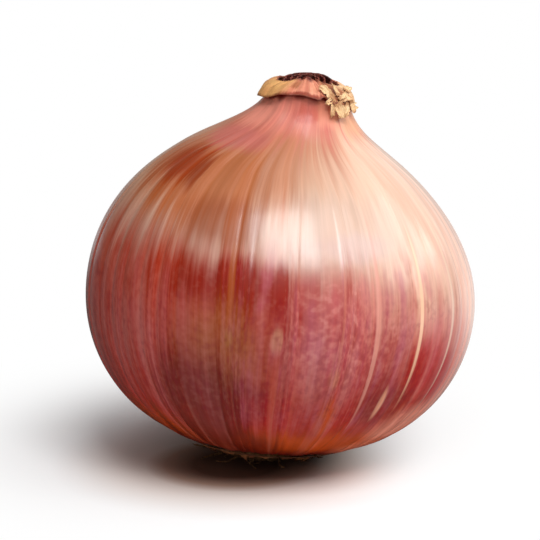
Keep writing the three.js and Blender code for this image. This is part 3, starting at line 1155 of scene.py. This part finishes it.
def make_woody_material(name, dark, light, crust, blotch_size, rough, depth):
    """Dried leaf, cork and root: blotched, grainy and dull."""
    material, shader, _, fibres, mottle = dry_material(name, 0.5, 1.0, blotch_size)
    colour = mixed(mottle["Blotches"], paint(*dark), paint(*light))
    colour = mixed(times(remap(fibres["Streaks"], 0.55, 0.95), 0.6), colour, paint(*crust))
    colour = toned(colour, plus(0.8, times(mottle["Grain"], 0.4)))
    grainy_finish(shader, colour, (rough, 0.15), mottle["Grain"], mottle["Blotches"], 0.5, depth)
    return material


# ---- Making and dressing the pieces ----

skin_finish = make_skin_material()
collar_finish = make_collar_material()
flake_finish = make_paper_material("flake_paper", (255, 228, 182), (232, 178, 122), (168, 100, 50))
frill_finish = make_paper_material("frill_paper", (206, 140, 84), (150, 78, 40), (74, 34, 16))
leaf_finish = make_woody_material("dried_leaf", (70, 16, 12), (118, 34, 22), (150, 82, 52), 1.3, 0.6, 0.12)
cork_finish = make_woody_material("root_cork", (116, 76, 44), (168, 120, 76), (190, 150, 104), 1.4, 0.8, 0.2)
root_finish = make_woody_material(
    "dried_root", (104, 66, 38), (150, 108, 66), (184, 146, 100), 0.9, 0.75, 0.08
)

dress(make_bulb_skin(), skin_finish, "bulb_skin", "bulb")
dress(make_collar(), collar_finish, "dry_skin", "neck_collar")

flake_sheet = flat_flake("flake_sheet")
for number in range(len(FLAKES)):
    nodes = [f"torn_flake_{number + 1}"] if number < FLAKES_IN_FRAME else []
    dress(make_flake(number, flake_sheet), flake_finish, "dry_skin", *nodes)
bpy.data.objects.remove(flake_sheet)

for number, (name, radius, top, seed) in enumerate(LEAF_BASES):
    dress(make_leaf_base(name, radius, top, seed), leaf_finish, "dried_leaf", f"leaf_base_{number + 1}")
dress(make_leaf_tip(), leaf_finish, "dried_leaf", "leaf_tip")

dress(make_root_plate(), cork_finish, "cork", "root_plate")
root_pattern = straight_root()
for number in range(ROOTS):
    dress(make_root(number, root_pattern), root_finish, "dried_root", f"root_{number + 1:02d}")
dress(make_rootlets(root_pattern), root_finish, "dried_root")
bpy.data.objects.remove(root_pattern)
dress(make_frill(), frill_finish, "dry_skin")


# ---- Floor, light and camera, in metres ----

MIDDLE = (0.0008, 0.0, 0.0365)  # of the onion
SHADOW_CORE = (-0.006, -0.01, 0.0)  # where the painted shadow on the floor is deepest
WHITE = paint(255, 255, 255)


def make_floor():
    """A pale floor that bounces light up, keeps the onion's shadow, and runs out to white for the camera."""
    deselect_all()
    bpy.ops.mesh.primitive_circle_add(vertices=96, radius=3.0, fill_type="TRIFAN")
    floor = named(bpy.context.object, "floor")
    material, tree, shader = new_material("pale_floor")
    place = object_place(tree)
    right, back, _ = split(place)
    rays = add_node(tree, "LightPath").outputs
    seen = rays["Is Camera Ray"]

    # What the onion's gloss mirrors is darker in front and at the left
    behind = remap(plus(right, back), 0.03, 0.17)
    reflected = mixed(behind, paint(90, 88, 86), paint(238, 236, 234))
    unseen = mixed(rays["Is Glossy Ray"], paint(232, 226, 220), reflected)

    # What the camera sees has a painted shadow, warm and dark round the shadow's core
    from_core = vector_calc("DISTANCE", place, SHADOW_CORE, "Value")
    shades = [(0.0, (122, 92, 78)), (0.2, (184, 154, 138)), (0.34, (224, 212, 205)), (1.0, (252, 252, 252))]
    shaded = ramp(remap(from_core, 0.008, 0.036, smooth=False), shades)
    fill(shader, Base_Color=mixed(seen, unseen, shaded), Roughness=0.9, Specular_IOR_Level=0.0)

    # Further out, and on the lit side, it turns white: on that side this is painted light over the shadow,
    # and near the shadow the glow is a painted warm tint
    warm_edge = mixed(remap(from_core, 0.012, 0.034), paint(255, 226, 206), WHITE)
    glow = fill(add_node(tree, "Emission"), Color=warm_edge, Strength=1.0)[0]
    far = remap(vector_calc("LENGTH", place, (0, 0, 0), "Value"), 0.024, 0.08)
    lit_side = remap(right, 0.008, 0.036, 0.0, 0.85)
    white_share = times(calc("MAXIMUM", far, lit_side), seen)
    blend = fill(add_node(tree, "MixShader"), white_share, shader.outputs[0], glow)[0]
    fill(tree.nodes["Material Output"], Surface=blend)
    floor.data.materials.append(material)


def add_looking_at_onion(name, data, azimuth, elevation, distance):
    """Adds a light or a camera at an azimuth (0 is the front, 90 is +X) and an elevation."""
    thing = bpy.data.objects.new(name, data)
    bpy.context.scene.collection.objects.link(thing)
    turn, up = math.radians(azimuth), math.radians(elevation)
    away = (math.sin(turn) * math.cos(up), -math.cos(turn) * math.cos(up), math.sin(up))
    thing.location = [middle + distance * step for middle, step in zip(MIDDLE, away)]
    thing.rotation_euler = (math.pi / 2 - up, 0, turn)
    return thing


# Each soft lamp is (name, azimuth, elevation, distance, width, height, radiance).
SOFT_LAMPS = [
    ("window_above", 16, 59, 0.7, 0.36, 0.42, 6.3),
    ("window_beside", 50, 54, 0.7, 0.5, 0.34, 2.4),
    ("side_panel", 98, 30, 0.8, 0.6, 0.4, 2.6),
]


def add_soft_lamp(name, azimuth, elevation, distance, width, height, radiance):
    lamp = bpy.data.lights.new(name, "AREA")
    lamp.shape = "RECTANGLE"
    lamp.size, lamp.size_y = width, height
    lamp.energy = radiance * math.pi * width * height
    add_looking_at_onion(name, lamp, azimuth, elevation, distance).visible_camera = False


def light_world():
    """A soft room, brighter overhead, white to the camera, and warm at the left in the onion's gloss."""
    world = bpy.data.worlds.new("pale_room")
    bpy.context.scene.world = world
    world.use_nodes = True
    tree = world.node_tree
    tree.nodes.clear()
    rays = add_node(tree, "LightPath").outputs
    glossy = rays["Is Glossy Ray"]
    right, back, up = split(add_node(tree, "TexCoord").outputs["Generated"])
    to_right = remap(right, -0.4, 0.2)
    behind = times(glossy, to_right, remap(back, 0.2, 0.9, 0.0, 0.6))
    lit = plus(remap(up, 0.1, 0.8, 0.176, 0.32), behind)
    warm_left = mixed(to_right, paint(255, 200, 150), WHITE)
    strength = remap(rays["Is Camera Ray"], 0, 1, lit, 1.0)
    soft = fill(add_node(tree, "Background"), Color=mixed(glossy, WHITE, warm_left), Strength=strength)[0]
    fill(add_node(tree, "OutputWorld"), Surface=soft)


def add_camera():
    camera = bpy.data.cameras.new("camera")
    camera.lens = 319
    camera.clip_end = 20
    bpy.context.scene.camera = add_looking_at_onion(
        "camera", camera, azimuth=0, elevation=15, distance=0.93
    )


make_floor()
for lamp in SOFT_LAMPS:
    add_soft_lamp(*lamp)
light_world()
add_camera()
bpy.context.scene.view_settings.view_transform = "Standard"
